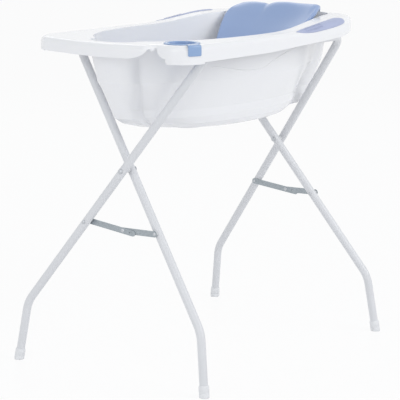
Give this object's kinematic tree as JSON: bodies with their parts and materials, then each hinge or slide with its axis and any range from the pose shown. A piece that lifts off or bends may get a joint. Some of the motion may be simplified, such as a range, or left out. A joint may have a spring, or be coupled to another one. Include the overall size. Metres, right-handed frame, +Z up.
{
  "type": "baby bath with stand",
  "caption": "Oval moulded baby bath with a wide rim, reclined blue bath support, corner soap dish and drain plug, on a folding stand of crossed bent-tube frames with hinged stays.",
  "frame": {"origin": "floor point midway between the four feet, under the middle of the tub", "axes": "+X along the tub towards its head end, +Y across the tub away from the soap dish side, +Z up"},
  "size_m": [0.9451, 0.6312, 0.9306],
  "materials": {
    "tub_white": "moulded white, soft gloss",
    "frame_white": "white powder coat",
    "cap_white": "moulded white",
    "rest_blue": "moulded pale blue, satin",
    "dish_blue": "moulded blue, soft gloss",
    "grip_blue": "soft-touch pale blue",
    "stay_steel": "grey-blue zinc, satin",
    "rivet_steel": "plated",
    "sleeve_white": "natural nylon",
    "plug_blue": "moulded blue",
    "seal_grey": "soft rubber"
  },
  "bodies": {
    "stand": {"outer_frame_tube": "frame_white", "foot_cap_outer_left": "cap_white", "foot_cap_outer_right": "cap_white", "pivot_rivet_left": "rivet_steel", "pivot_sleeve_left": "sleeve_white", "stay_rivet_outer_left": "rivet_steel", "stay_spacer_outer_left": "sleeve_white", "pivot_rivet_right": "rivet_steel", "pivot_sleeve_right": "sleeve_white", "stay_rivet_outer_right": "rivet_steel", "stay_spacer_outer_right": "sleeve_white"},
    "inner_frame": {"inner_frame_tube": "frame_white", "foot_cap_inner_left": "cap_white", "foot_cap_inner_right": "cap_white", "stay_rivet_inner_left": "rivet_steel", "stay_spacer_inner_left": "sleeve_white", "stay_rivet_inner_right": "rivet_steel", "stay_spacer_inner_right": "sleeve_white"},
    "stay_outer_left": {"stay_link_outer_left": "stay_steel", "stay_knee_head_left": "rivet_steel"},
    "stay_outer_right": {"stay_link_outer_right": "stay_steel", "stay_knee_head_right": "rivet_steel"},
    "stay_inner_left": {"stay_link_inner_left": "stay_steel", "stay_knee_tail_left": "rivet_steel"},
    "stay_inner_right": {"stay_link_inner_right": "stay_steel", "stay_knee_tail_right": "rivet_steel"},
    "tub": {"tub_shell": "tub_white", "rim_grip_near": "grip_blue", "rim_grip_far": "grip_blue"},
    "bath_rest": {"bath_rest": "rest_blue"},
    "soap_dish": {"soap_dish": "dish_blue"},
    "drain_plug": {"drain_plug": "plug_blue", "drain_seal": "seal_grey"}
  },
  "joints": [
    {"name": "stand_fold", "type": "hinge", "parent": "stand", "child": "inner_frame", "pos_m": [0, 0, 0.5375], "axis": [1, 0, 0], "range_deg": [0, 52]},
    {"name": "tub_lift", "type": "slide", "parent": "stand", "child": "tub", "axis": [0, -0.28, 0.96], "range_m": [0, 0.626]},
    {"name": "stay_outer_left_pivot", "type": "hinge", "parent": "stand", "child": "stay_outer_left", "pos_m": [-0.3695, 0.10534, 0.395], "axis": [1, 0, 0], "range_deg": [0, 94]},
    {"name": "stay_inner_left_pivot", "type": "hinge", "parent": "inner_frame", "child": "stay_inner_left", "pos_m": [-0.3695, -0.11125, 0.387], "axis": [1, 0, 0], "range_deg": [-95.2, 0]},
    {"name": "stay_outer_right_pivot", "type": "hinge", "parent": "stand", "child": "stay_outer_right", "pos_m": [0.3695, 0.10534, 0.395], "axis": [1, 0, 0], "range_deg": [0, 94]},
    {"name": "stay_inner_right_pivot", "type": "hinge", "parent": "inner_frame", "child": "stay_inner_right", "pos_m": [0.3695, -0.11125, 0.387], "axis": [1, 0, 0], "range_deg": [-95.2, 0]},
    {"name": "rest_lift", "type": "slide", "parent": "tub", "child": "bath_rest", "axis": [0, 0, 1], "range_m": [0, 0.3]},
    {"name": "dish_lift", "type": "slide", "parent": "tub", "child": "soap_dish", "axis": [0, 0, 1], "range_m": [0, 0.06]},
    {"name": "plug_lift", "type": "slide", "parent": "tub", "child": "drain_plug", "axis": [0, 0, 1], "range_m": [0, 0.05]}
  ],
  "couplings": [
    {"joint": "tub_lift", "follows": "stand_fold", "m_per_rad": 0.6875},
    {"joint": "stay_outer_left_pivot", "follows": "stand_fold", "ratio": 1.8021},
    {"joint": "stay_inner_left_pivot", "follows": "stand_fold", "ratio": -1.8251},
    {"joint": "stay_outer_right_pivot", "follows": "stand_fold", "ratio": 1.8021},
    {"joint": "stay_inner_right_pivot", "follows": "stand_fold", "ratio": -1.8251}
  ]
}
